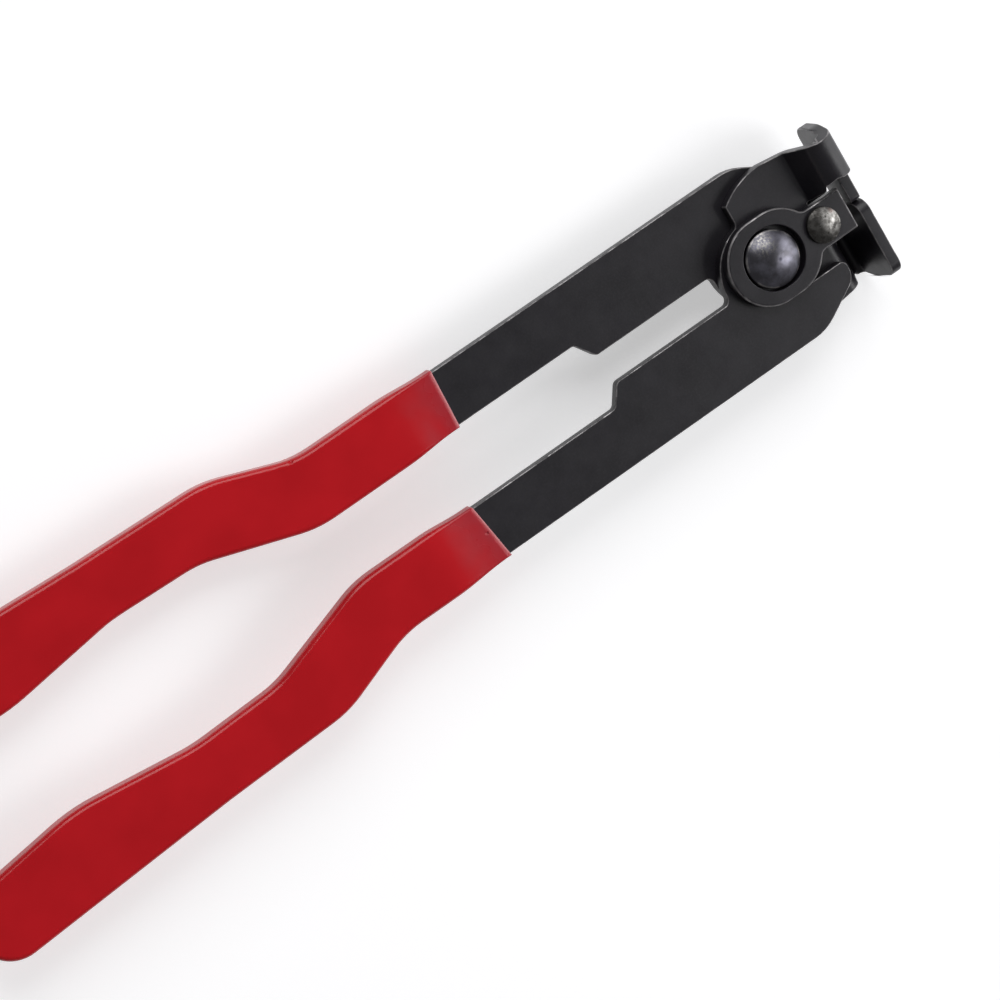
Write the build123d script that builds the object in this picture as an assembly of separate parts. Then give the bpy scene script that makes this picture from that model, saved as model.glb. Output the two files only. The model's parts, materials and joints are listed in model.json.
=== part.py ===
from build123d import *
import math
import os

# Ear clamp pliers, in millimetres. +X is the tool's axis towards the jaws, +Z the thickness of the plates.
# The origin is the middle of the closed tool. Both levers are one stamping: the rear one is turned half a
# turn about the tool's axis. Outlines are drawn about the pivot and moved to their place at the end.

# Reach of the tool from its pivot
jaw_reach = 25.1
tail_reach = 219.7

# Sheet, layers and fits
plate_thickness = 2.6
keeper_thickness = 2.5
lever_gap = 0.1
keeper_gap = 0.1
running_clearance = 0.05
rivet_clearance = 0.03

# Handle: distances of its two long edges from the axis, from the pivot to the tail
handle_outer = 20.7
handle_inner_wide = 3.3
handle_inner_narrow = 7.9
belly_inner = 16.1
belly_outer = 27.5
waist_inner = 16.8
waist_outer = 28.3
palm_inner = 13.1
tail_inner = 16.7
tail_outer = 31.2

# Handle: where its corners lie, as shares of the reach to the tail, and how they are rounded
step_head_share = 0.1975
step_tail_share = 0.2121
bend_inner_share = 0.5189
bend_outer_share = 0.5052
belly_inner_share = 0.634
belly_outer_share = 0.5917
waist_share = 0.7328
palm_share = 0.8603
tail_round_share = 0.483
step_round = 1.5
bend_round = 25.0
palm_round = 40.0

# Disc round the pivot, the tongue beside it and the mouth between the tongue and the jaw
disc_x = -0.7
disc_y = -2.0
disc_radius = 11.8
disc_neck_round = 1.5
tongue_shoulder_x = 3.5
tongue_shoulder_round = 12.0
tongue_setback = 10.1
tongue_corner_y = -14.3
tongue_corner_round = 4.0
tongue_tip_round = 1.5
mouth_left = 3.0
mouth_radius = 9.0
mouth_tongue_y = -9.8
mouth_jaw_y = 4.2

# Jaw: its outline seen from the front, its section along the axis, and its flange seen from the end
jaw_back_x = -2.7
jaw_back_y = 14.7
jaw_peak_x = 8.5
jaw_peak_y = 18.3
jaw_dip_setback = 5.6
jaw_dip_y = 16.9
jaw_flare_setback = 3.1
jaw_inner_y = 7.4
crest_inner_y = 7.9
notch_head_y = 7.4
notch_head_setback = 8.0
notch_foot_y = 6.2
notch_foot_setback = 8.3
tab_clearance = 0.3
tab_clear_setback = 11.2
lip_gap = 0.4
lip_corner_round = 0.8
lip_foot_round = 3.0
ramp_setback = 10.8
ramp_angle = 67.5
ramp_round = 0.6
jaw_rise = 11.1
jaw_depth = 16.2
arch_setback = 1.1
arch_round = 3.8
flange_y = 18.8
flange_shoulder_z = 4.0
flange_shoulder_round = 10.0
flange_corner_round = 2.8

# Keeper: an oblong ring round the rivet's head and a tab
keeper_ring_left = -1.0
keeper_ring_right = 2.2
keeper_ring_radius = 9.85
keeper_hole_left = 0.0
keeper_hole_right = 0.7
keeper_hole_radius = 6.95
keeper_tab_gap = 0.7
keeper_tab_width = 9.8
keeper_root_round = 2.0
keeper_rivet_margin = 5.85
keeper_edge_round = 0.6

# Rivets and the bush
pivot_shank_radius = 4.5
pivot_head_radius = 6.45
pivot_head_wall = 2.2
pivot_dome_height = 2.3
pivot_head_round = 0.4
keeper_shank_radius = 2.5
keeper_head_radius = 4.0
keeper_head_wall = 0.9
keeper_dome_height = 1.1
keeper_head_round = 0.3
bush_radius = 3.5

# Dipped grips
grip_side_wall = 1.2
grip_face_wall = 1.1
grip_edge_round = 1.3
front_grip_mouth_share = 0.3805
rear_grip_mouth_share = 0.3491

# How far a cutting body stands past what it cuts
overrun = 10.0

# Worked out from the sizes above
pivot_x = (tail_reach - jaw_reach) / 2
tang_end_x = grip_side_wall - tail_reach
tail_round = (tail_outer - tail_inner) * tail_round_share
tongue_end = jaw_reach - tongue_setback
arch_reach = jaw_reach - arch_setback
arch_inner_x = arch_reach - plate_thickness
plate_bottom = lever_gap / 2
plate_top = plate_bottom + plate_thickness
keeper_bottom = plate_top + keeper_gap
keeper_top = keeper_bottom + keeper_thickness
lip_y = lip_gap / 2
lip_top = jaw_depth - jaw_rise
keeper_tab_end = arch_inner_x - keeper_tab_gap
keeper_rivet_x = keeper_hole_right + keeper_hole_radius + keeper_rivet_margin


def handle_x(share):
    """Place along the axis of a corner of the handle, from its share of the reach to the tail."""
    return -tail_reach * share


def handle_outline():
    """Handle and tongue in one run round the tail, on the -Y side of the axis."""
    corners = [
        ((0, -handle_inner_wide), 0),
        ((handle_x(step_head_share), -handle_inner_wide), step_round),
        ((handle_x(step_tail_share), -handle_inner_narrow), step_round),
        ((handle_x(bend_inner_share), -handle_inner_narrow), bend_round),
        ((handle_x(belly_inner_share), -belly_inner), bend_round),
        ((handle_x(waist_share), -waist_inner), palm_round),
        ((handle_x(palm_share), -palm_inner), palm_round),
        ((tang_end_x, -tail_inner), tail_round),
        ((tang_end_x, -tail_outer), tail_round),
        ((handle_x(waist_share), -waist_outer), palm_round),
        ((handle_x(belly_outer_share), -belly_outer), bend_round),
        ((handle_x(bend_outer_share), -handle_outer), bend_round),
        ((tongue_shoulder_x, -handle_outer), tongue_shoulder_round),
        ((tongue_end, tongue_corner_y), tongue_corner_round),
        ((tongue_end, mouth_tongue_y), tongue_tip_round),
        ((0, mouth_tongue_y), 0),
    ]
    points = [point for point, radius in corners]
    radii = [radius for point, radius in corners]
    return make_face(FilletPolyline(*points, radius=radii, close=True))


def mouth_outline():
    """The opening between tongue and jaw that the keepers' bush moves in."""
    height = mouth_jaw_y - mouth_tongue_y
    reach = jaw_reach - mouth_left
    slot = Pos(mouth_left, mouth_tongue_y) * Rectangle(reach, height, align=(Align.MIN, Align.MIN))
    return slot - Circle(mouth_radius)


def jaw_outline():
    """The jaw seen from the front, from its heel beside the disc to the end face."""
    peak = (jaw_peak_x, jaw_peak_y)
    back = (jaw_back_x, jaw_back_y)
    crown = TangentArc(peak, back, tangent=(-1, 0))
    flare = (jaw_reach - jaw_flare_setback, flange_y)
    dip = (jaw_reach - jaw_dip_setback, jaw_dip_y)
    end = [(jaw_reach, lip_y), (jaw_reach, flange_y), flare, dip]
    rest = Polyline(back, (jaw_back_x, 0), (0, lip_y), *end, peak)
    return make_face([crown, *rest.edges()])


def jaw_inner_outline():
    """What the jaw leaves free behind its lip: a narrow mouth, room beside the keeper's tab and a notch."""
    tab_side_y = keeper_tab_width / 2 + tab_clearance
    clear_x = jaw_reach - tab_clear_setback
    notch_foot = (jaw_reach - notch_foot_setback, notch_foot_y)
    notch_head = (jaw_reach - notch_head_setback, notch_head_y)
    return make_face(Polyline(
        (0, 0),
        (0, mouth_jaw_y),
        (clear_x, mouth_jaw_y),
        (clear_x, tab_side_y),
        notch_foot,
        notch_head,
        (jaw_reach - jaw_dip_setback, crest_inner_y),
        (arch_inner_x, jaw_inner_y),
        (arch_inner_x, 0),
        close=True,
    ))


def flange_outline():
    """The jaw seen from its end: narrow over the arch, wider down the flange, with a rounded foot."""
    corners = [
        ((0, jaw_rise), 0),
        ((jaw_dip_y, jaw_rise), 0),
        ((flange_y, flange_shoulder_z), flange_shoulder_round),
        ((flange_y, -lip_top), flange_corner_round),
        ((0, -lip_top), 0),
    ]
    points = [point for point, radius in corners]
    radii = [radius for point, radius in corners]
    return make_face(FilletPolyline(*points, radius=radii, close=True))


def flat_plate():
    """Handle, disc, tongue and the heel of the jaw, flat as far as the ramp."""
    heel_width = jaw_peak_x - jaw_back_x
    heel = Pos(jaw_back_x, 0) * Rectangle(heel_width, jaw_peak_y, align=(Align.MIN, Align.MIN))
    disc = Pos(disc_x, disc_y) * Circle(disc_radius)
    outline = handle_outline() + disc + (jaw_outline() & heel) - mouth_outline()
    neck = (disc_x - disc_radius, -handle_inner_wide)
    heel_foot = (jaw_back_x, disc_y + disc_radius)
    for corner in (neck, heel_foot):
        outline = fillet(outline.vertices().sort_by_distance(corner)[0], disc_neck_round)
    return Pos(0, 0, plate_bottom) * extrude(outline, plate_thickness)


def jaw_section():
    """Side view of the jaw: flat, up the ramp, over the arch and down to the lip's free edge."""
    ramp_x = jaw_reach - ramp_setback
    ramp_run = (jaw_rise - plate_top) / math.tan(math.radians(ramp_angle))
    outer_face = FilletPolyline(
        (0, plate_top),
        (ramp_x, plate_top),
        (ramp_x + ramp_run, jaw_rise),
        (arch_reach, jaw_rise),
        (jaw_reach, -lip_top),
        radius=[ramp_round, arch_round, arch_round],
    )
    return make_face(offset(outer_face, amount=plate_thickness, side=Side.RIGHT, closed=True))


def lip_corners(jaw):
    """The edges across the sheet at the lip's tip, from its foot to its top."""
    return jaw.edges().filter_by(Axis.X).filter_by(lambda e: abs(e.center().Y - lip_y) < lip_gap).sort_by(Axis.Z)


def formed_jaw():
    """The jaw beyond its heel, bent from the same sheet, with its lip narrowed to the flat of the flange."""
    bent = extrude(Plane.XZ * jaw_section(), -flange_y)
    jaw = bent & extrude(jaw_outline(), jaw_rise, both=True)
    jaw = jaw & extrude(Plane.YZ * flange_outline(), jaw_reach)
    behind_lip = extrude(jaw_inner_outline(), jaw_rise, both=True)
    above_lip = Box(notch_head_setback, jaw_inner_y, jaw_rise, align=(Align.MAX, Align.MIN, Align.MIN))
    jaw = jaw - behind_lip - Pos(jaw_reach, 0, lip_top) * above_lip
    jaw = fillet(lip_corners(jaw)[0], lip_foot_round)
    return fillet(lip_corners(jaw)[-1], lip_corner_round)


def lever():
    """One stamped lever with its handle on the -Y side and its jaw on the +Y side."""
    pivot_hole = Cylinder(pivot_shank_radius + running_clearance, plate_top * 2 + overrun)
    return flat_plate() + formed_jaw() - pivot_hole


def turned_over(piece):
    """The same piece after half a turn about the tool's axis."""
    return Rot(180, 0, 0) * piece


def oblong(left, right, radius):
    """Two round ends about points on the tool's axis, joined into one outline."""
    return Pos((left + right) / 2, 0) * SlotCenterToCenter(right - left, radius * 2)


def keeper():
    """Ring and tab in one plate, in front of the front lever."""
    tab = Rectangle(keeper_tab_end, keeper_tab_width, align=(Align.MIN, Align.CENTER))
    outline = oblong(keeper_ring_left, keeper_ring_right, keeper_ring_radius) + tab
    for side in (1, -1):
        root = (keeper_ring_right + keeper_ring_radius, keeper_tab_width / 2 * side)
        outline = fillet(outline.vertices().sort_by_distance(root)[0], keeper_root_round)
    outline = outline - oblong(keeper_hole_left, keeper_hole_right, keeper_hole_radius)
    outline = outline - Pos(keeper_rivet_x, 0) * Circle(keeper_shank_radius + rivet_clearance)
    plate = extrude(outline, keeper_thickness)
    front_face = plate.faces().sort_by(Axis.Z)[-1]
    plate = fillet(front_face.outer_wire().edges(), keeper_edge_round)
    return Pos(0, 0, keeper_bottom) * plate


def domed_head(radius, wall, dome_height, edge_round):
    """A rivet head: a short round wall and a shallow dome, standing on Z = 0."""
    apex = (0, wall + dome_height)
    side = Polyline(apex, (0, 0), (radius, 0), (radius, wall))
    dome = TangentArc(apex, (radius, wall), tangent=(1, 0))
    profile = make_face([*side.edges(), dome])
    profile = fillet(profile.vertices().sort_by_distance((radius, wall))[0], edge_round)
    return revolve(Plane.XZ * profile, Axis.Z)


def rivet(shank_radius, seat_z, head):
    """A rivet with the same head on both faces."""
    shank = Cylinder(shank_radius, seat_z * 2)
    front_head = Pos(0, 0, seat_z) * head
    return shank + front_head + turned_over(front_head)


def pivot_rivet():
    """The domed rivet that the levers turn on."""
    head = domed_head(pivot_head_radius, pivot_head_wall, pivot_dome_height, pivot_head_round)
    return rivet(pivot_shank_radius, plate_top + running_clearance, head)


def keeper_rivet():
    """The small rivet that ties the two keepers together."""
    head = domed_head(keeper_head_radius, keeper_head_wall, keeper_dome_height, keeper_head_round)
    return Pos(keeper_rivet_x, 0, 0) * rivet(keeper_shank_radius, keeper_top, head)


def keeper_spacer():
    """The bush between the keepers, which stops the tongues when the pliers open."""
    length = keeper_bottom * 2
    bore = Cylinder(keeper_shank_radius + rivet_clearance, length + overrun)
    return Pos(keeper_rivet_x, 0, 0) * (Cylinder(bush_radius, length) - bore)


def grip(mouth_x):
    """Dipped vinyl round the handle of the front lever, from its mouth to the tail."""
    dipped = Pos(mouth_x, 0) * Rectangle(tail_reach, tail_reach, align=(Align.MAX, Align.CENTER))
    outline = offset(handle_outline(), amount=grip_side_wall) & dipped
    coat = extrude(outline, plate_thickness + grip_face_wall * 2)
    long_edges = coat.edges().filter_by(lambda e: abs(e.center().X - mouth_x) > grip_edge_round)
    coat = fillet(long_edges.filter_by(Plane.XY), grip_edge_round)
    return Pos(0, 0, plate_bottom - grip_face_wall) * coat - flat_plate()


front_lever = lever()
front_keeper = keeper()
nodes = {
    "front_lever": front_lever,
    "rear_lever": turned_over(front_lever),
    "front_keeper": front_keeper,
    "rear_keeper": turned_over(front_keeper),
    "pivot_rivet": pivot_rivet(),
    "keeper_rivet": keeper_rivet(),
    "keeper_spacer": keeper_spacer(),
    "front_lever_grip": grip(handle_x(front_grip_mouth_share)),
    "rear_lever_grip": turned_over(grip(handle_x(rear_grip_mouth_share))),
}

os.makedirs("parts", exist_ok=True)
for name, piece in nodes.items():
    placed = Pos(pivot_x, 0, 0) * piece
    export_step(placed, os.path.join("parts", name + ".step"))
    print(name, len(placed.solids()), round(placed.volume, 1))
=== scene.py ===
# %% [markdown]
# Ear clamp pliers: two stamped steel levers on one big rivet, a keeper plate on each side of them, a small
# peened rivet through both keepers, and red grips that were dipped in liquid vinyl.
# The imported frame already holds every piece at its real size. This scene gives each piece its real surface:
# broken edges on the stampings, turned and hammered rivet heads, and a vinyl coat that thins at its mouth.

# %% Load the frame
import json
import math

import bmesh
import bpy
from mathutils import Matrix, Vector


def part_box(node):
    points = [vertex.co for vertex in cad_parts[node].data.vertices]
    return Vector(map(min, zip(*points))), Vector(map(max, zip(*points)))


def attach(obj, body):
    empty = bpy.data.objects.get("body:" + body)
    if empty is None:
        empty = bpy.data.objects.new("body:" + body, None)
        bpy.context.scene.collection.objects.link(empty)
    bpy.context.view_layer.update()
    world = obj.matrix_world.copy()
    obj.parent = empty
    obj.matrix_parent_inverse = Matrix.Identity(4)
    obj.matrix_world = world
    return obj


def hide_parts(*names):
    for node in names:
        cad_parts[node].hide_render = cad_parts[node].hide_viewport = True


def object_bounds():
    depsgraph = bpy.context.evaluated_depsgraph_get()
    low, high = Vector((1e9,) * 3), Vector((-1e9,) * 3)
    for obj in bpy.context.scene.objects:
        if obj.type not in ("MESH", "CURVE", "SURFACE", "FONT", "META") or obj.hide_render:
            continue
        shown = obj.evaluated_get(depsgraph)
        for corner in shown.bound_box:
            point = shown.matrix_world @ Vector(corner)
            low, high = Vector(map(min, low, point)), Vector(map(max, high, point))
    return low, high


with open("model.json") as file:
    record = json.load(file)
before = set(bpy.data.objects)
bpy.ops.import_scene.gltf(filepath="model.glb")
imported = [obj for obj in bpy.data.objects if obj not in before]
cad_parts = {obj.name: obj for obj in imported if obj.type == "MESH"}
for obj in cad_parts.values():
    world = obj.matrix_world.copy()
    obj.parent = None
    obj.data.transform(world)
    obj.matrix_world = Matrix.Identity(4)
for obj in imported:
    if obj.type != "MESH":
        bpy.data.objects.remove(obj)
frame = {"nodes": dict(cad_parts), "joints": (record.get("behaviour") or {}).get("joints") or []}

MM = 0.001
cad_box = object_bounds()
pivot = Vector(frame["joints"][0]["pos_m"])
print("nodes in the frame:", len(frame["nodes"]))

# %% [markdown]
# The photograph was taken with a long lens, a little from the jaws' back and from one side, so that the
# layers show their cut edges. The camera's turn and distance were fitted to the straight edges of both
# levers. The values below say where the pivot lies in the picture and how the tool leans towards the lens.

# %% Camera at the photograph's angle
picture_px = 1000
focal_px = 3500
pivot_px = (768.68, 258.65)
pivot_distance = 752.68 * MM
away_right = -0.33
away_down = -0.09
axis_turn = 0.54794
sensor_mm = 36.0
nearest_seen = 10.0 * MM
keeper_gap = 0.1 * MM
front_face_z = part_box("front_keeper")[0].z - keeper_gap

away = Vector((away_right, away_down, math.sqrt(1 - away_right ** 2 - away_down ** 2)))
axis_x = Vector((math.cos(axis_turn), -math.sin(axis_turn), 0))
axis_x = (axis_x - away * axis_x.dot(away)).normalized()
axis_z = -away
axis_y = axis_z.cross(axis_x)
to_right, to_down, to_front = [Vector((axis_x[i], axis_y[i], axis_z[i])) for i in range(3)]


def pixel_ray(pixel):
    """Direction in the tool's frame of the ray through a pixel, one unit deep."""
    across = (pixel[0] - picture_px / 2) / focal_px
    down = (pixel[1] - picture_px / 2) / focal_px
    return to_right * across + to_down * down + to_front


lens_point = Vector((pivot.x, pivot.y, front_face_z)) - pixel_ray(pivot_px) * pivot_distance


def photo_point(pixel, height):
    """The point at that height that the photograph shows at a pixel."""
    ray = pixel_ray(pixel)
    return lens_point + ray * ((height - lens_point.z) / ray.z)


camera_data = bpy.data.cameras.new("photo_camera")
camera_data.lens = sensor_mm * focal_px / picture_px
camera_data.sensor_width = sensor_mm
camera_data.clip_start = nearest_seen
camera = bpy.data.objects.new("photo_camera", camera_data)
bpy.context.scene.collection.objects.link(camera)
rows = [(to_right[i], -to_down[i], -to_front[i], lens_point[i]) for i in range(3)]
camera.matrix_world = Matrix(rows + [(0, 0, 0, 1)])
bpy.context.scene.camera = camera
print("camera stands", round(lens_point.z, 3), "m above the tool")

# %% [markdown]
# A node tree is easier to read when each node is one line. The helper adds a node, sets its properties
# and fills its inputs: a socket is linked, and anything else becomes the input's value.
# Colours are written as they look on a screen, and one function turns them to the linear values of a shader.

# %% Helpers for node trees
def add(tree, kind, inputs=None, **settings):
    """One node with its settings, its values and its links."""
    node = tree.nodes.new(kind)
    for name, value in settings.items():
        setattr(node, name, value)
    for name, value in (inputs or {}).items():
        if isinstance(value, bpy.types.NodeSocket):
            tree.links.new(value, node.inputs[name])
        else:
            node.inputs[name].default_value = value
    return node


def linear(hex_colour):
    """Linear RGBA of an sRGB hex colour."""
    parts = [int(hex_colour[i:i + 2], 16) / 255 for i in (1, 3, 5)]
    parts = [c / 12.92 if c <= 0.04045 else ((c + 0.055) / 1.055) ** 2.4 for c in parts]
    return (*parts, 1.0)


def per_mm(size_mm):
    """Pattern scale, in turns per metre, whose features are about size_mm wide."""
    return 1 / (size_mm * MM)


def new_material(name, shader_inputs):
    """An empty material with one Principled shader, and that shader."""
    material = bpy.data.materials.new(name)
    material.use_nodes = True
    tree = material.node_tree
    tree.nodes.clear()
    shader = add(tree, "ShaderNodeBsdfPrincipled", shader_inputs)
    add(tree, "ShaderNodeOutputMaterial", {"Surface": shader.outputs["BSDF"]})
    return material, tree, shader


# %% [markdown]
# The levers and keepers are mild steel sheet with a black oxide finish, oiled. Oxide is a thin dark skin:
# it keeps the rolled grain of the sheet, is semi-matte, and rubs through to bare steel on corners first.
# So the material has a near-black base with faint cloudiness and a fine grain in its bump. Pale bare steel
# comes in where the mesh marks an edge and a noise says that this stretch was rubbed, with a brighter spot
# about every 6 mm. Every marked edge gets at least a quarter of that pale colour, so these lines are also a
# painted highlight along the rounded edges.

# %% Black oxide on stamped steel
def black_oxide_steel():
    """Semi-matte black oxide whose corners wear to pale steel, with painted edge highlights."""
    material, tree, shader = new_material("black_oxide_steel", {"IOR": 1.45})
    place = add(tree, "ShaderNodeTexCoord").outputs["Object"]
    clouds = add(tree, "ShaderNodeTexNoise", {"Vector": place, "Scale": per_mm(9.0), "Detail": 3.0})
    cloud_share = add(tree, "ShaderNodeMapRange", {
        "Value": clouds.outputs["Fac"], "From Min": 0.35, "From Max": 0.65})
    grain = add(tree, "ShaderNodeTexNoise", {"Vector": place, "Scale": per_mm(0.5), "Detail": 5.0})
    grain_share = add(tree, "ShaderNodeMapRange", {
        "Value": grain.outputs["Fac"], "From Min": 0.45, "From Max": 0.75, "To Max": 0.4})
    skin = add(tree, "ShaderNodeMix", {
        0: cloud_share.outputs[0], 6: linear("#17151A"), 7: linear("#201E23")}, data_type="RGBA")
    skin = add(tree, "ShaderNodeMix", {
        0: grain_share.outputs[0], 6: skin.outputs[2], 7: linear("#2A272D")}, data_type="RGBA")
    # Painted highlight, partly wear: marked edges turn pale bare steel, at least a quarter of the way on every
    # edge.
    edge_wear_and_highlight = add(tree, "ShaderNodeAttribute", attribute_name="edge_wear_and_highlight")
    streaks = add(tree, "ShaderNodeTexNoise", {"Vector": place, "Scale": per_mm(2.4), "Detail": 4.0})
    streak_share = add(tree, "ShaderNodeMapRange", {
        "Value": streaks.outputs["Fac"], "From Min": 0.40, "From Max": 0.62, "To Min": 0.25, "To Max": 0.8})
    spots = add(tree, "ShaderNodeTexNoise", {"Vector": place, "Scale": per_mm(3.5), "Detail": 1.0})
    spot_share = add(tree, "ShaderNodeMapRange", {
        "Value": spots.outputs["Fac"], "From Min": 0.60, "From Max": 0.66})
    rubbed_and_lit = add(tree, "ShaderNodeMath", {
        0: streak_share.outputs[0], 1: spot_share.outputs[0]}, operation="MAXIMUM")
    bare_and_lit_share = add(tree, "ShaderNodeMath", {
        0: rubbed_and_lit.outputs[0], 1: edge_wear_and_highlight.outputs["Fac"]}, operation="MULTIPLY")
    colour = add(tree, "ShaderNodeMix", {
        0: bare_and_lit_share.outputs[0], 6: skin.outputs[2], 7: linear("#A8A5A6")}, data_type="RGBA")
    sheen = add(tree, "ShaderNodeTexNoise", {"Vector": place, "Scale": per_mm(4.0)})
    rough = add(tree, "ShaderNodeMapRange", {
        "Value": sheen.outputs["Fac"], "From Min": 0.3, "From Max": 0.7, "To Min": 0.33, "To Max": 0.40})
    rolled = add(tree, "ShaderNodeTexNoise", {"Vector": place, "Scale": per_mm(1.6)})
    soft = add(tree, "ShaderNodeBump", {"Height": rolled.outputs["Fac"], "Distance": 0.012 * MM})
    fine = add(tree, "ShaderNodeBump", {
        "Height": grain.outputs["Fac"], "Distance": 0.008 * MM, "Normal": soft.outputs["Normal"]})
    tree.links.new(colour.outputs[2], shader.inputs["Base Color"])
    tree.links.new(bare_and_lit_share.outputs[0], shader.inputs["Metallic"])
    tree.links.new(rough.outputs[0], shader.inputs["Roughness"])
    tree.links.new(fine.outputs["Normal"], shader.inputs["Normal"])
    return material


oxide = black_oxide_steel()
print("material:", oxide.name)

# %% [markdown]
# The big rivet was turned and then upset cold. Its crown keeps fine rings from the lathe, 0.35 mm apart,
# under a dark patina. One patch, on the side that rubs against the bench, is worn to bright specks. A small
# darker spot near the crown is a painted dark reflection: a flat spot there mirrors a dark direction, not
# the main lamp. The shoulder under the dome is worn to a thin bright ring that is also a painted highlight
# on its round.
# A wave texture repeats every 2 pi / (20 x scale), so the rings' pitch gives its scale.

# %% Darkened turned steel
ring_pitch = 0.35 * MM
front_head_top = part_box("pivot_rivet")[1].z
rubbed_px = (763, 243)
rubbed_radius = 3.6 * MM
rubbed_depth = 1.2 * MM
rubbed_point = photo_point(rubbed_px, front_head_top - rubbed_depth)
shoulder_height = 5.08 * MM
shoulder_width = 0.16 * MM
flat_spot_shade_px = (780.5, 259.0)
flat_spot_shade_radius = 0.6 * MM
flat_spot_shade_depth = 0.1 * MM
flat_spot_shade_point = photo_point(flat_spot_shade_px, front_head_top - flat_spot_shade_depth)


def darkened_turned_steel():
    """Dark patina over turned rings with bright specks in one patch, a painted dark reflection near the crown
    and a painted highlight on the shoulder.
    """
    material, tree, shader = new_material("darkened_turned_steel", {"Metallic": 1.0})
    place = add(tree, "ShaderNodeTexCoord").outputs["Object"]
    centred = add(tree, "ShaderNodeMapping", {"Vector": place, "Location": -pivot})
    rings = add(tree, "ShaderNodeTexWave", {
        "Vector": centred.outputs["Vector"], "Scale": math.tau / (20 * ring_pitch), "Distortion": 1.5,
        "Detail": 2.0, "Detail Scale": 2.0}, wave_type="RINGS", rings_direction="Z")
    patina = add(tree, "ShaderNodeTexNoise", {"Vector": place, "Scale": per_mm(2.5), "Detail": 5.0})
    patina_share = add(tree, "ShaderNodeMapRange", {
        "Value": patina.outputs["Fac"], "From Min": 0.38, "From Max": 0.64})
    colour = add(tree, "ShaderNodeMix", {
        0: patina_share.outputs[0], 6: linear("#5A595F"), 7: linear("#7A7984")}, data_type="RGBA")
    away_from_rub = add(tree, "ShaderNodeVectorMath", {0: place, 1: rubbed_point}, operation="DISTANCE")
    rub = add(tree, "ShaderNodeMapRange", {
        "Value": away_from_rub.outputs["Value"], "From Min": rubbed_radius, "From Max": rubbed_radius * 0.4})
    specks = add(tree, "ShaderNodeTexNoise", {"Vector": place, "Scale": per_mm(0.55), "Detail": 4.0})
    speck_share = add(tree, "ShaderNodeMapRange", {
        "Value": specks.outputs["Fac"], "From Min": 0.46, "From Max": 0.62})
    bright = add(tree, "ShaderNodeMath", {
        0: rub.outputs[0], 1: speck_share.outputs[0]}, operation="MULTIPLY")
    colour = add(tree, "ShaderNodeMix", {
        0: bright.outputs[0], 6: colour.outputs[2], 7: linear("#8C8A87")}, data_type="RGBA")
    # Painted dark reflection: a darker spot near the crown, standing for a flat spot that misses the main lamp.
    away_from_flat_spot_shade = add(tree, "ShaderNodeVectorMath", {0: place, 1: flat_spot_shade_point}, operation="DISTANCE")
    flat_spot_shade = add(tree, "ShaderNodeMapRange", {
        "Value": away_from_flat_spot_shade.outputs["Value"], "From Min": flat_spot_shade_radius, "From Max": flat_spot_shade_radius * 0.3,
        "To Max": 0.7})
    colour = add(tree, "ShaderNodeMix", {
        0: flat_spot_shade.outputs[0], 6: colour.outputs[2], 7: linear("#1F1D2A")}, data_type="RGBA")
    # Painted highlight, partly wear: a thin bright ring round the shoulder under the dome.
    spot = add(tree, "ShaderNodeSeparateXYZ", {"Vector": place})
    height = add(tree, "ShaderNodeMath", {0: spot.outputs["Z"]}, operation="ABSOLUTE")
    off_shoulder = add(tree, "ShaderNodeMath", {
        0: height.outputs[0], 1: shoulder_height, 2: shoulder_width}, operation="COMPARE")
    worn_and_highlit_ring = add(tree, "ShaderNodeMath", {
        0: off_shoulder.outputs[0], 1: patina_share.outputs[0]}, operation="MULTIPLY")
    colour = add(tree, "ShaderNodeMix", {
        0: worn_and_highlit_ring.outputs[0], 6: colour.outputs[2], 7: linear("#B4B1AE")}, data_type="RGBA")
    rough = add(tree, "ShaderNodeMapRange", {
        "Value": bright.outputs[0], "To Min": 0.36, "To Max": 0.30})
    turned_rings = add(tree, "ShaderNodeBump", {"Height": rings.outputs["Fac"], "Distance": 0.004 * MM})
    pits = add(tree, "ShaderNodeBump", {
        "Height": specks.outputs["Fac"], "Distance": 0.02 * MM, "Normal": turned_rings.outputs["Normal"]})
    tree.links.new(colour.outputs[2], shader.inputs["Base Color"])
    tree.links.new(rough.outputs[0], shader.inputs["Roughness"])
    tree.links.new(pits.outputs["Normal"], shader.inputs["Normal"])
    return material


turned = darkened_turned_steel()
print("material:", turned.name)

# %% [markdown]
# The small rivet was closed with a hammer. Each blow left a shallow facet, and the bare metal has since
# gone a mottled grey with pits, and a little rust where the oil ran off. Round one point on the lit facet
# the head is painted pale, a painted highlight, and away from it darker, painted shade for the side the
# lamps leave dark.

# %% Bare peened steel
rust_px = (831, 209)
rust_radius = 1.1 * MM
lit_facet_px = (832, 218)
lit_facet_radius = 3.4 * MM
lit_facet_depth = 0.3 * MM
rust_depth = 0.7 * MM
small_head_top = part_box("keeper_rivet")[1].z
lit_facet_point = photo_point(lit_facet_px, small_head_top - lit_facet_depth)
rust_point = photo_point(rust_px, small_head_top - rust_depth)


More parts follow.
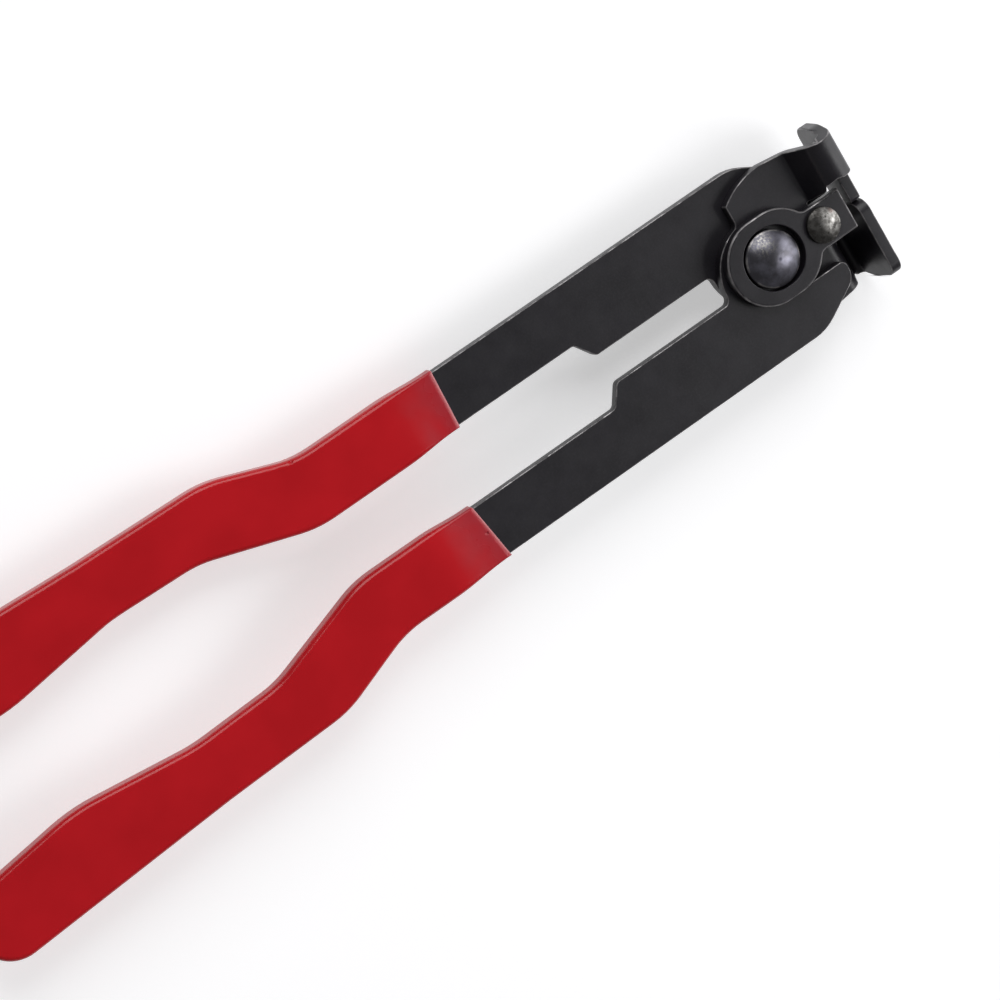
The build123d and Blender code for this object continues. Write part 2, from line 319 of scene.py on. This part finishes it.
def bare_peened_steel():
    """Bare grey steel, mottled, pitted and rusted in one place, with painted light and shade on its head."""
    material, tree, shader = new_material("bare_peened_steel", {"Metallic": 1.0})
    place = add(tree, "ShaderNodeTexCoord").outputs["Object"]
    mottle = add(tree, "ShaderNodeTexNoise", {"Vector": place, "Scale": per_mm(0.9), "Detail": 6.0})
    mottle_share = add(tree, "ShaderNodeMapRange", {
        "Value": mottle.outputs["Fac"], "From Min": 0.36, "From Max": 0.66})
    colour = add(tree, "ShaderNodeMix", {
        0: mottle_share.outputs[0], 6: linear("#64625F"), 7: linear("#B4B2AF")}, data_type="RGBA")
    pits = add(tree, "ShaderNodeTexNoise", {
        "Vector": place, "Scale": per_mm(0.7), "Detail": 4.0, "Lacunarity": 2.4})
    pit_share = add(tree, "ShaderNodeMapRange", {
        "Value": pits.outputs["Fac"], "From Min": 0.58, "From Max": 0.66, "To Max": 0.8})
    colour = add(tree, "ShaderNodeMix", {
        0: pit_share.outputs[0], 6: colour.outputs[2], 7: linear("#242220")}, data_type="RGBA")
    # Painted highlight and painted shade: pale round one point on the lit facet, darker away from it.
    away_from_lit_facet = add(tree, "ShaderNodeVectorMath", {0: place, 1: lit_facet_point}, operation="DISTANCE")
    bare_and_lit_share = add(tree, "ShaderNodeMapRange", {
        "Value": away_from_lit_facet.outputs["Value"], "From Min": lit_facet_radius, "From Max": lit_facet_radius * 0.5,
        "To Min": 0.2})
    colour = add(tree, "ShaderNodeMix", {
        0: bare_and_lit_share.outputs[0], 6: linear("#33312F"), 7: colour.outputs[2]}, data_type="RGBA")
    away_from_rust = add(tree, "ShaderNodeVectorMath", {0: place, 1: rust_point}, operation="DISTANCE")
    rust = add(tree, "ShaderNodeMapRange", {
        "Value": away_from_rust.outputs["Value"], "From Min": rust_radius, "From Max": 0.0})
    patchy_rust = add(tree, "ShaderNodeMath", {
        0: rust.outputs[0], 1: mottle_share.outputs[0]}, operation="MULTIPLY")
    colour = add(tree, "ShaderNodeMix", {
        0: patchy_rust.outputs[0], 6: colour.outputs[2], 7: linear("#5A2E22")}, data_type="RGBA")
    rough = add(tree, "ShaderNodeMapRange", {
        "Value": mottle_share.outputs[0], "To Min": 0.50, "To Max": 0.38})
    coarse = add(tree, "ShaderNodeBump", {"Height": mottle.outputs["Fac"], "Distance": 0.045 * MM})
    pitted = add(tree, "ShaderNodeBump", {
        "Height": pit_share.outputs[0], "Distance": 0.02 * MM, "Normal": coarse.outputs["Normal"]}, invert=True)
    tree.links.new(colour.outputs[2], shader.inputs["Base Color"])
    tree.links.new(rough.outputs[0], shader.inputs["Roughness"])
    tree.links.new(pitted.outputs["Normal"], shader.inputs["Normal"])
    return material


peened = bare_peened_steel()
print("material:", peened.name)

# %% [markdown]
# The grips were dipped: the warm handles went into liquid vinyl and came out with a skin that gelled
# smooth and glossy. It has long, very shallow waves and almost no texture, so gloss does the work. The mesh
# carries a "run_out" value that is one at the mouth: there the skin is thin and duller, and its paler colour
# there is partly a painted sheen. A pale pink line right at the mouth is a painted highlight on the coat's
# edge.
# Two bubbles burst as the skin gelled, each leaving a small dimple.

# %% Dipped vinyl
burst_bubbles = (((487.4, 533.4), 3.1, 0.5), ((291.0, 461.4), 1.0, 0.7))


def dipped_vinyl():
    """Glossy red vinyl with shallow waves, duller at the mouths, with a painted sheen and edge highlight there.
    """
    material, tree, shader = new_material("dipped_vinyl", {"IOR": 1.52, "Specular IOR Level": 0.36})
    place = add(tree, "ShaderNodeTexCoord").outputs["Object"]
    tone = add(tree, "ShaderNodeTexNoise", {"Vector": place, "Scale": per_mm(14.0)})
    tone_share = add(tree, "ShaderNodeMapRange", {
        "Value": tone.outputs["Fac"], "From Min": 0.35, "From Max": 0.65})
    colour = add(tree, "ShaderNodeMix", {
        0: tone_share.outputs[0], 6: linear("#BE0F1A"), 7: linear("#C8131E")}, data_type="RGBA")
    run_out = add(tree, "ShaderNodeAttribute", attribute_name="run_out")
    broken = add(tree, "ShaderNodeTexNoise", {"Vector": place, "Scale": per_mm(6.0), "Detail": 1.5})
    patchy = add(tree, "ShaderNodeMath", {
        0: run_out.outputs["Fac"], 1: broken.outputs["Fac"]}, operation="MULTIPLY")
    # Paler, duller colour near the mouth: thin skin, and partly a painted sheen.
    dull_and_sheen = add(tree, "ShaderNodeMapRange", {
        "Value": patchy.outputs[0], "From Min": 0.08, "From Max": 0.55, "To Max": 0.75})
    colour = add(tree, "ShaderNodeMix", {
        0: dull_and_sheen.outputs[0], 6: colour.outputs[2], 7: linear("#A52E3A")}, data_type="RGBA")
    # Painted highlight: a pale pink line right at the coat's mouth.
    rim_highlight = add(tree, "ShaderNodeMapRange", {
        "Value": run_out.outputs["Fac"], "From Min": 0.965, "From Max": 0.99, "To Max": 0.6})
    colour = add(tree, "ShaderNodeMix", {
        0: rim_highlight.outputs[0], 6: colour.outputs[2], 7: linear("#D58C90")}, data_type="RGBA")
    rough = add(tree, "ShaderNodeMapRange", {"Value": dull_and_sheen.outputs[0], "To Min": 0.19, "To Max": 0.38})
    waves = add(tree, "ShaderNodeTexNoise", {"Vector": place, "Scale": per_mm(5.0), "Detail": 1.0})
    skin = add(tree, "ShaderNodeBump", {"Height": waves.outputs["Fac"], "Distance": 0.04 * MM})
    for pixel, height_mm, radius_mm in burst_bubbles:
        away = add(tree, "ShaderNodeVectorMath", {
            0: place, 1: photo_point(pixel, height_mm * MM)}, operation="DISTANCE")
        dimple = add(tree, "ShaderNodeMapRange", {
            "Value": away.outputs["Value"], "From Max": radius_mm * MM}, interpolation_type="SMOOTHSTEP")
        skin = add(tree, "ShaderNodeBump", {
            "Height": dimple.outputs[0], "Distance": radius_mm * 0.5 * MM, "Normal": skin.outputs["Normal"]})
    tree.links.new(colour.outputs[2], shader.inputs["Base Color"])
    tree.links.new(rough.outputs[0], shader.inputs["Roughness"])
    tree.links.new(skin.outputs["Normal"], shader.inputs["Normal"])
    return material


vinyl = dipped_vinyl()
print("material:", vinyl.name)

# %% [markdown]
# A CAD mesh is loose triangles. To round its corners, the triangles are welded, flat areas are joined
# back into single faces, and every edge that turns sharply gets a small bevel. The middle of each bevel
# is marked in an attribute, which the oxide material reads as the place that rubs bare and as a painted
# highlight along the rounded edge.

# %% Plates with broken edges
weld_distance = 0.002 * MM
sliver_length = 0.04 * MM
flat_angle = math.radians(0.6)
sharp_angle = math.radians(24)
arris_steps = 3
even_weight = 60


def welded(node):
    """A bmesh copy of a CAD node with its triangles joined."""
    shape = bmesh.new()
    shape.from_mesh(frame["nodes"][node].data)
    bmesh.ops.remove_doubles(shape, verts=shape.verts, dist=weld_distance)
    bmesh.ops.dissolve_limit(shape, angle_limit=flat_angle, verts=shape.verts, edges=shape.edges)
    bmesh.ops.dissolve_degenerate(shape, dist=sliver_length, edges=shape.edges)
    return shape


def sharp_edges(shape):
    """Edges between two faces that turn by more than the sharp angle."""
    return [e for e in shape.edges if len(e.link_faces) == 2 and e.calc_face_angle() > sharp_angle]


def from_pivot(vert):
    """Distance of a point from the pivot rivet's axis."""
    return (vert.co - pivot).xy.length


def break_edges(shape, width, quiet_radius):
    """Bevel the sharp edges and flag the middle of each bevel for wear and a painted highlight, but not in the
    hole for the head.
    """
    edge_wear_and_highlight = shape.verts.layers.float.new("edge_wear_and_highlight")
    made = bmesh.ops.bevel(
        shape, geom=sharp_edges(shape), offset=width, offset_type="OFFSET", segments=arris_steps,
        profile=0.5, affect="EDGES", clamp_overlap=False)
    rounded = set(made["faces"])
    for vert in made["verts"]:
        if from_pivot(vert) > quiet_radius and all(face in rounded for face in vert.link_faces):
            vert[edge_wear_and_highlight] = 1.0


def mark_rounded_rim(shape, quiet_radius):
    """Flag the middle of a keeper's rounded outer edge for wear and a painted highlight too."""
    edge_wear_and_highlight = shape.verts.layers.float["edge_wear_and_highlight"]
    shape.normal_update()
    for vert in shape.verts:
        if from_pivot(vert) > quiet_radius and rim_lean[0] < abs(vert.normal.z) < rim_lean[1]:
            vert[edge_wear_and_highlight] = 1.0


def finished(shape, name, material, body, node):
    """Turn a bmesh into a piece that rides on a body and stands for a CAD node."""
    mesh = bpy.data.meshes.new(name)
    shape.to_mesh(mesh)
    shape.free()
    return dressed(mesh, name, material, body, node)


def dressed(mesh, name, material, body, node):
    """Give a mesh its object, shading, material and place in the assembly."""
    mesh.name = name
    mesh.materials.clear()
    mesh.materials.append(material)
    mesh.shade_smooth()
    piece = bpy.data.objects.new(name, mesh)
    bpy.context.scene.collection.objects.link(piece)
    even = piece.modifiers.new("even_normals", "WEIGHTED_NORMAL")
    even.keep_sharp = False
    even.weight = even_weight
    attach(piece, body)
    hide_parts(node)
    print(name, "has", len(mesh.polygons), "faces")
    return piece


lever_arris = 0.28 * MM
keeper_arris = 0.2 * MM
head_hole_radius = 8.2 * MM
rim_lean = (0.45, 0.93)
plates = {
    "front_lever": ("front", lever_arris, 0),
    "rear_lever": ("rear", lever_arris, 0),
    "front_keeper": ("keepers", keeper_arris, head_hole_radius),
    "rear_keeper": ("keepers", keeper_arris, head_hole_radius),
}
for node, (body, width, quiet_radius) in plates.items():
    plate = welded(node)
    break_edges(plate, width, quiet_radius)
    if quiet_radius:
        mark_rounded_rim(plate, quiet_radius)
    finished(plate, node + "_stamping", oxide, body, node)

# %% [markdown]
# The vinyl coat follows the handle inside it, so a Geometry Nodes tree can shape it by one rule: each
# point knows the nearest point of the steel, and the coat's thickness there is scaled. Near its mouth the
# coat runs thin and slants a little, because the handle went into the bath at a lean, and along its length
# it waves, as a dipped skin does. Both grips use one tree.

# %% The coat's Geometry Nodes tree
def coat_tree():
    """Scale a coat's thickness over the steel inside it."""
    tree = bpy.data.node_groups.new("dipped_coat", "GeometryNodeTree")
    face = tree.interface
    face.new_socket("Geometry", in_out="INPUT", socket_type="NodeSocketGeometry")
    face.new_socket("Steel", in_out="INPUT", socket_type="NodeSocketObject")
    for name in ("Mouth X", "Mouth Y", "Slant", "Run In", "Dull Length", "Mouth Share", "Wave Share",
                 "Wave Length", "Seed"):
        face.new_socket(name, in_out="INPUT", socket_type="NodeSocketFloat")
    face.new_socket("Vinyl", in_out="INPUT", socket_type="NodeSocketMaterial")
    face.new_socket("Geometry", in_out="OUTPUT", socket_type="NodeSocketGeometry")
    given = add(tree, "NodeGroupInput").outputs
    steel = add(tree, "GeometryNodeObjectInfo", {"Object": given["Steel"]}, transform_space="RELATIVE")
    here = add(tree, "GeometryNodeInputPosition").outputs["Position"]
    near = add(tree, "GeometryNodeProximity", target_element="FACES")
    tree.links.new(steel.outputs["Geometry"], near.inputs[0])
    wall = add(tree, "ShaderNodeVectorMath", {0: here, 1: near.outputs["Position"]}, operation="SUBTRACT")
    spot = add(tree, "ShaderNodeSeparateXYZ", {"Vector": here})
    depth = add(tree, "ShaderNodeMath", {0: given["Mouth X"], 1: spot.outputs["X"]}, operation="SUBTRACT")
    thin = add(tree, "ShaderNodeMapRange", {
        "Value": depth.outputs[0], "From Min": 0.0, "From Max": given["Run In"],
        "To Min": given["Mouth Share"], "To Max": 1.0}, interpolation_type="SMOOTHERSTEP")
    scale = add(tree, "ShaderNodeMath", {0: 1.0, 1: given["Wave Length"]}, operation="DIVIDE")
    wave = add(tree, "ShaderNodeTexNoise", {
        "Vector": here, "W": given["Seed"], "Scale": scale.outputs[0], "Detail": 1.0}, noise_dimensions="4D")
    centred = add(tree, "ShaderNodeMath", {0: wave.outputs["Fac"], 1: 0.5}, operation="SUBTRACT")
    swing = add(tree, "ShaderNodeMath", {
        0: centred.outputs[0], 1: given["Wave Share"]}, operation="MULTIPLY")
    share = add(tree, "ShaderNodeMath", {0: thin.outputs[0], 1: swing.outputs[0]}, operation="ADD")
    share = add(tree, "ShaderNodeMath", {0: share.outputs[0], 1: 1.0}, operation="MINIMUM")
    change = add(tree, "ShaderNodeMath", {0: share.outputs[0], 1: 1.0}, operation="SUBTRACT")
    offset = add(tree, "ShaderNodeVectorMath", {
        0: wall.outputs[0], "Scale": change.outputs[0]}, operation="SCALE")
    near_mouth = add(tree, "ShaderNodeMapRange", {
        "Value": depth.outputs[0], "From Min": given["Run In"], "From Max": 0.0})
    across = add(tree, "ShaderNodeMath", {0: spot.outputs["Y"], 1: given["Mouth Y"]}, operation="SUBTRACT")
    lean = add(tree, "ShaderNodeMath", {0: across.outputs[0], 1: given["Slant"]}, operation="MULTIPLY")
    lean = add(tree, "ShaderNodeMath", {0: lean.outputs[0], 1: near_mouth.outputs[0]}, operation="MULTIPLY")
    along = add(tree, "ShaderNodeCombineXYZ", {"X": lean.outputs[0]})
    offset = add(tree, "ShaderNodeVectorMath", {0: offset.outputs[0], 1: along.outputs[0]}, operation="ADD")
    # This value makes the vinyl duller at the mouth and drives its painted sheen and rim highlight.
    dull_and_sheen = add(tree, "ShaderNodeMapRange", {
        "Value": depth.outputs[0], "From Min": given["Dull Length"], "From Max": 0.0})
    marked = add(tree, "GeometryNodeStoreNamedAttribute", {
        "Geometry": given["Geometry"], "Name": "run_out", "Value": dull_and_sheen.outputs[0]},
        data_type="FLOAT", domain="POINT")
    moved = add(tree, "GeometryNodeSetPosition", {
        "Geometry": marked.outputs["Geometry"], "Offset": offset.outputs[0]})
    real = add(tree, "GeometryNodeRealizeInstances", {"Geometry": moved.outputs["Geometry"]})
    painted = add(tree, "GeometryNodeSetMaterial", {
        "Geometry": real.outputs["Geometry"], "Material": given["Vinyl"]})
    add(tree, "NodeGroupOutput", {"Geometry": painted.outputs["Geometry"]})
    return tree


def input_key(tree, name):
    """Identifier of a tree's input socket, which a modifier stores its value under."""
    return next(item.identifier for item in tree.interface.items_tree
                if item.name == name and item.in_out == "INPUT")


def grown(shape_object, tree, values):
    """Run a tree on an object with named inputs, and return the result as a plain mesh."""
    modifier = shape_object.modifiers.new(tree.name, "NODES")
    modifier.node_group = tree
    for name, value in values.items():
        modifier[input_key(tree, name)] = value
    bpy.context.view_layer.update()
    ready = shape_object.evaluated_get(bpy.context.evaluated_depsgraph_get())
    mesh = bpy.data.meshes.new_from_object(ready)
    shape_object.modifiers.remove(modifier)
    bpy.data.objects.remove(shape_object)
    return mesh


# %% [markdown]
# To bend and thin the coat, its mesh first needs points to move. The welded CAD grip is cut by planes
# across its length and its width, closely near the mouth, where the coat changes fast.

# %% The two grips
cut_step = 4.0 * MM
mouth_cut_step = 1.0 * MM
run_in = 15.0 * MM
# Length over which the mouth is duller and carries a painted sheen.
dull_and_sheen_length = 12.0 * MM
mouth_share = 0.38
wave_share = 0.16
wave_length = 22.0 * MM


def slice_at(shape, point, normal):
    """Add edges where a plane crosses the shape, and keep both sides."""
    bmesh.ops.bisect_plane(
        shape, geom=shape.verts[:] + shape.edges[:] + shape.faces[:], plane_co=point, plane_no=normal,
        dist=weld_distance)


def grip_piece(node, steel, body, mouth_y, slant, seed):
    """One dipped grip over its lever's handle."""
    low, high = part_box(node)
    shape = welded(node)
    x = high.x - mouth_cut_step
    while x > low.x:
        slice_at(shape, (x, 0, 0), (1, 0, 0))
        x -= mouth_cut_step if high.x - x < run_in else cut_step
    y = low.y + cut_step
    while y < high.y:
        slice_at(shape, (0, y, 0), (0, 1, 0))
        y += cut_step
    mesh = bpy.data.meshes.new(node + "_blank")
    shape.to_mesh(mesh)
    shape.free()
    blank = bpy.data.objects.new(node + "_blank", mesh)
    bpy.context.scene.collection.objects.link(blank)
    coat = grown(blank, coat_tree(), {
        "Steel": frame["nodes"][steel], "Mouth X": high.x, "Mouth Y": mouth_y, "Slant": slant,
        "Run In": run_in, "Dull Length": dull_and_sheen_length, "Mouth Share": mouth_share,
        "Wave Share": wave_share, "Wave Length": wave_length, "Seed": seed, "Vinyl": vinyl})
    return dressed(coat, node + "_coat", vinyl, body, node)


grip_piece("front_lever_grip", "front_lever", "front", mouth_y=-14.5 * MM, slant=-0.146, seed=3.0)
grip_piece("rear_lever_grip", "rear_lever", "rear", mouth_y=14.3 * MM, slant=0.064, seed=8.0)

# %% [markdown]
# Both rivets are turned shapes, so one Geometry Nodes tree makes them: it bends a grid round the axis, with
# one side of the grid read from the rivet's profile. A noise then dents the heads, a little on the turned
# rivet and more on the hammered one. The profile is one line of points from pole to pole.

# %% The rivets' Geometry Nodes tree
undented_noise = 0.75


def rivet_tree():
    """Turn a profile about Z and dent what stands above its seat."""
    tree = bpy.data.node_groups.new("turned_rivet", "GeometryNodeTree")
    face = tree.interface
    face.new_socket("Geometry", in_out="INPUT", socket_type="NodeSocketGeometry")
    for name in ("Around", "Along"):
        face.new_socket(name, in_out="INPUT", socket_type="NodeSocketInt")
    for name in ("Seat Height", "Wall", "Dent Depth", "Dent Length", "Seed"):
        face.new_socket(name, in_out="INPUT", socket_type="NodeSocketFloat")
    face.new_socket("Steel", in_out="INPUT", socket_type="NodeSocketMaterial")
    face.new_socket("Geometry", in_out="OUTPUT", socket_type="NodeSocketGeometry")
    given = add(tree, "NodeGroupInput").outputs
    sheet = add(tree, "GeometryNodeMeshGrid", {
        "Size X": math.tau, "Size Y": 1.0, "Vertices X": given["Around"], "Vertices Y": given["Along"]})
    here = add(tree, "GeometryNodeInputPosition").outputs["Position"]
    spot = add(tree, "ShaderNodeSeparateXYZ", {"Vector": here})
    share = add(tree, "ShaderNodeMath", {0: spot.outputs["Y"], 1: 0.5}, operation="ADD")
    line = add(tree, "GeometryNodeMeshToCurve", {"Mesh": given["Geometry"]})
    profile = add(tree, "GeometryNodeSampleCurve", {
        "Curves": line.outputs["Curve"], "Factor": share.outputs[0]}, mode="FACTOR", use_all_curves=True)
    turned_to = add(tree, "ShaderNodeVectorRotate", {
        "Vector": profile.outputs["Position"], "Angle": spot.outputs["X"]}, rotation_type="Z_AXIS")
    skin = add(tree, "GeometryNodeSetPosition", {
        "Geometry": sheet.outputs["Mesh"], "Position": turned_to.outputs["Vector"]})
    closed = add(tree, "GeometryNodeMergeByDistance", {
        "Geometry": skin.outputs["Geometry"], "Distance": weld_distance})
    height = add(tree, "ShaderNodeMath", {0: spot.outputs["Z"]}, operation="ABSOLUTE")
    above = add(tree, "ShaderNodeMath", {
        0: height.outputs[0], 1: given["Seat Height"]}, operation="SUBTRACT")
    raised = add(tree, "ShaderNodeMapRange", {"Value": above.outputs[0], "From Max": given["Wall"]})
    scale = add(tree, "ShaderNodeMath", {0: 1.0, 1: given["Dent Length"]}, operation="DIVIDE")
    cloud = add(tree, "ShaderNodeTexNoise", {
        "Vector": here, "W": given["Seed"], "Scale": scale.outputs[0], "Detail": 2.0}, noise_dimensions="4D")
    dent = add(tree, "ShaderNodeMath", {0: cloud.outputs["Fac"], 1: undented_noise}, operation="SUBTRACT")
    dent = add(tree, "ShaderNodeMath", {0: dent.outputs[0], 1: given["Dent Depth"]}, operation="MULTIPLY")
    dent = add(tree, "ShaderNodeMath", {0: dent.outputs[0], 1: raised.outputs[0]}, operation="MULTIPLY")
    up = add(tree, "GeometryNodeInputNormal").outputs["Normal"]
    offset = add(tree, "ShaderNodeVectorMath", {0: up, "Scale": dent.outputs[0]}, operation="SCALE")
    dented = add(tree, "GeometryNodeSetPosition", {
        "Geometry": closed.outputs["Geometry"], "Offset": offset.outputs[0]})
    real = add(tree, "GeometryNodeRealizeInstances", {"Geometry": dented.outputs["Geometry"]})
    painted = add(tree, "GeometryNodeSetMaterial", {
        "Geometry": real.outputs["Geometry"], "Material": given["Steel"]})
    add(tree, "NodeGroupOutput", {"Geometry": painted.outputs["Geometry"]})
    return tree


turned_rivet = rivet_tree()

# %% [markdown]
# The profile follows the CAD rivet: a shank, a seat, a short wall and a shallow dome with a small round
# between them. The dome is an arc, so its radius comes from its width and height. A rivet's sizes are, in
# millimetres: shank radius, height of the seat above the mid-plane, head radius, wall, dome, edge round.

# %% Profiles
arc_steps = 24
corner_steps = 8


def arc(centre, radius, start, end, steps):
    """Points on an arc in the profile's plane, from one angle to another."""
    turn = (end - start) / steps
    angles = [start + turn * i for i in range(steps + 1)]
    return [(centre[0] + radius * math.cos(a), centre[1] + radius * math.sin(a)) for a in angles]


def head_profile(shank, seat, radius, wall, dome, edge_round):
    """Half of a rivet's profile, from the middle of its shank to the crown."""
    dome_radius = (radius ** 2 + dome ** 2) / (2 * dome)
    dome_centre = (0, seat + wall + dome - dome_radius)
    round_x = radius - edge_round
    reach = dome_radius - edge_round
    round_centre = (round_x, dome_centre[1] + math.sqrt(reach ** 2 - round_x ** 2))
    meeting = math.acos(round_x / reach)
    corner = arc(round_centre, edge_round, 0, meeting, corner_steps)
    crown = arc(dome_centre, dome_radius, meeting, math.pi / 2, arc_steps)
    return [(shank, 0), (shank, seat), (radius, seat), *corner, *crown[1:-1], (0, seat + wall + dome)]


def rivet_profile(half):
    """The whole profile, from the lower pole to the upper one, as an object with one line."""
    points = [(x, -z) for x, z in reversed(half[1:])] + half[1:]
    mesh = bpy.data.meshes.new("rivet_profile")
    mesh.from_pydata([(x, 0, z) for x, z in points], [(i, i + 1) for i in range(len(points) - 1)], [])
    line = bpy.data.objects.new("rivet_profile", mesh)
    bpy.context.scene.collection.objects.link(line)
    return line


# %% [markdown]
# A hammer blow flattens whatever stands above a plane. Each blow has a direction round the head, a tilt
# from its axis and a depth into the dome. The deepest one leaves the bright facet and the ridge beside it.

# %% Hammer blows
blows = ((-48, 24, 0.24), (140, 16, 0.16), (75, 24, 0.12), (-120, 26, 0.12))


def struck(mesh, dome_radius, dome_centre_z):
    """Flatten both heads of the mesh with the blows."""
    for side in (1, -1):
        for turn, tilt, depth_mm in blows:
            turn, tilt = math.radians(turn * side), math.radians(tilt)
            reach = math.sin(tilt)
            way = Vector((reach * math.cos(turn), reach * math.sin(turn), math.cos(tilt) * side))
            plane = dome_radius - depth_mm * MM
            for vert in mesh.vertices:
                over = (vert.co - Vector((0, 0, dome_centre_z * side))).dot(way) - plane
                if over > 0 and vert.co.z * side > 0:
                    vert.co -= way * over


# %% The two rivets
points_around = 129
points_along = 200


def rivet_piece(node, body, steel, sizes, dent_depth, dent_length, seed, hammered):
    """One rivet from its profile, in the place of its CAD node."""
    low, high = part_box(node)
    half = head_profile(*[size * MM for size in sizes])
    mesh = grown(rivet_profile(half), turned_rivet, {
        "Around": points_around, "Along": points_along, "Seat Height": sizes[1] * MM, "Wall": sizes[3] * MM,
        "Dent Depth": dent_depth, "Dent Length": dent_length, "Seed": seed, "Steel": steel})
    radius, wall, dome = [sizes[i] * MM for i in (2, 3, 4)]
    dome_radius = (radius ** 2 + dome ** 2) / (2 * dome)
    if hammered:
        struck(mesh, dome_radius, sizes[1] * MM + wall + dome - dome_radius)
    mesh.transform(Matrix.Translation(((low.x + high.x) / 2, (low.y + high.y) / 2, 0)))
    shape = bmesh.new()
    shape.from_mesh(mesh)
    bmesh.ops.recalc_face_normals(shape, faces=shape.faces)
    shape.to_mesh(mesh)
    print(node, "volume", round(shape.calc_volume() / MM ** 3, 1), "mm3")
    shape.free()
    return dressed(mesh, node + "_closed", steel, body, node)


pivot_sizes = (4.5, 2.7, 6.45, 2.2, 2.3, 0.4)
keeper_sizes = (2.5, 5.25, 4.0, 0.9, 1.1, 0.3)
rivet_piece("pivot_rivet", "rear", turned, pivot_sizes,
            dent_depth=0.03 * MM, dent_length=1.6 * MM, seed=2.0, hammered=False)
rivet_piece("keeper_rivet", "keepers", peened, keeper_sizes,
            dent_depth=0.10 * MM, dent_length=1.5 * MM, seed=5.0, hammered=True)

# %% [markdown]
# The bush between the keepers shows only from the side, as a plain turned tube. Its CAD mesh is already
# right, so it keeps that and only gets the turned finish.

# %% Bush
bush = frame["nodes"]["keeper_spacer"].data
bush.materials.clear()
bush.materials.append(turned)

# %% [markdown]
# A plain studio: the closed tool lies on a pale floor. The main lamp stands level with the tool at the
# picture's right and throws the disc's shadow on the handle behind it. A low wide one beside it lights the
# jaws' crests and the right of the rivet heads, and one from above lights the cut edges. Nothing stands at
# the lower left, so the ramps of the jaws stay dark. Each lamp is given by its direction from the pivot in
# the picture (right, up, toward the lens), its side in metres and its power in watts.

# %% Floor, lamps and world
floor_tone = "#E6E6E8"
floor_gap = 0.02 * MM
floor_size = 4.0
floor_glow = 0.45
world_strength = 0.17
lamp_distance = 2.0
lamps = {
    "lamp_key": ((0.90, -0.04, 0.43), 0.9, 10),
    "lamp_rim": ((0.95, 0.3, 0.1), 1.5, 16),
    "lamp_top": ((0.0, 0.65, 0.76), 1.4, 20),
}


def pale_floor():
    """A floor that renders white where it is lit and still shows a shadow."""
    material, tree, shader = new_material("pale_floor", {"Base Color": linear(floor_tone), "Roughness": 0.9})
    path = add(tree, "ShaderNodeLightPath")
    seen = add(tree, "ShaderNodeMath", {
        0: path.outputs["Is Camera Ray"], 1: path.outputs["Is Glossy Ray"]}, operation="MAXIMUM")
    seen = add(tree, "ShaderNodeMath", {
        0: seen.outputs[0], 1: path.outputs["Is Transmission Ray"]}, operation="MAXIMUM")
    shader.inputs["Emission Color"].default_value = (1, 1, 1, 1)
    glow = add(tree, "ShaderNodeMath", {0: seen.outputs[0], 1: floor_glow}, operation="MULTIPLY")
    tree.links.new(glow.outputs[0], shader.inputs["Emission Strength"])
    mesh = bpy.data.meshes.new("floor")
    half = floor_size / 2
    z = cad_box[0][2] - floor_gap
    corners = [(-half, -half, z), (half, -half, z), (half, half, z), (-half, half, z)]
    mesh.from_pydata(corners, [], [(0, 1, 2, 3)])
    mesh.materials.append(material)
    floor = bpy.data.objects.new("floor", mesh)
    bpy.context.scene.collection.objects.link(floor)


def soft_lamp(name, direction, size, watts):
    """A square area lamp that looks at the pivot from a direction in the picture."""
    across, up, toward = direction
    data = bpy.data.lights.new(name, "AREA")
    data.size = size
    data.energy = watts
    lamp = bpy.data.objects.new(name, data)
    way = (to_right * across - to_down * up - to_front * toward).normalized()
    lamp.location = pivot + way * lamp_distance
    lamp.rotation_euler = way.to_track_quat("Z", "Y").to_euler()
    bpy.context.scene.collection.objects.link(lamp)


pale_floor()
for name, (direction, size, watts) in lamps.items():
    soft_lamp(name, direction, size, watts)
world = bpy.data.worlds.new("studio")
world.use_nodes = True
world.node_tree.nodes["Background"].inputs["Color"].default_value = (1, 1, 1, 1)
world.node_tree.nodes["Background"].inputs["Strength"].default_value = world_strength
bpy.context.scene.world = world
bpy.context.scene.view_settings.view_transform = "Standard"
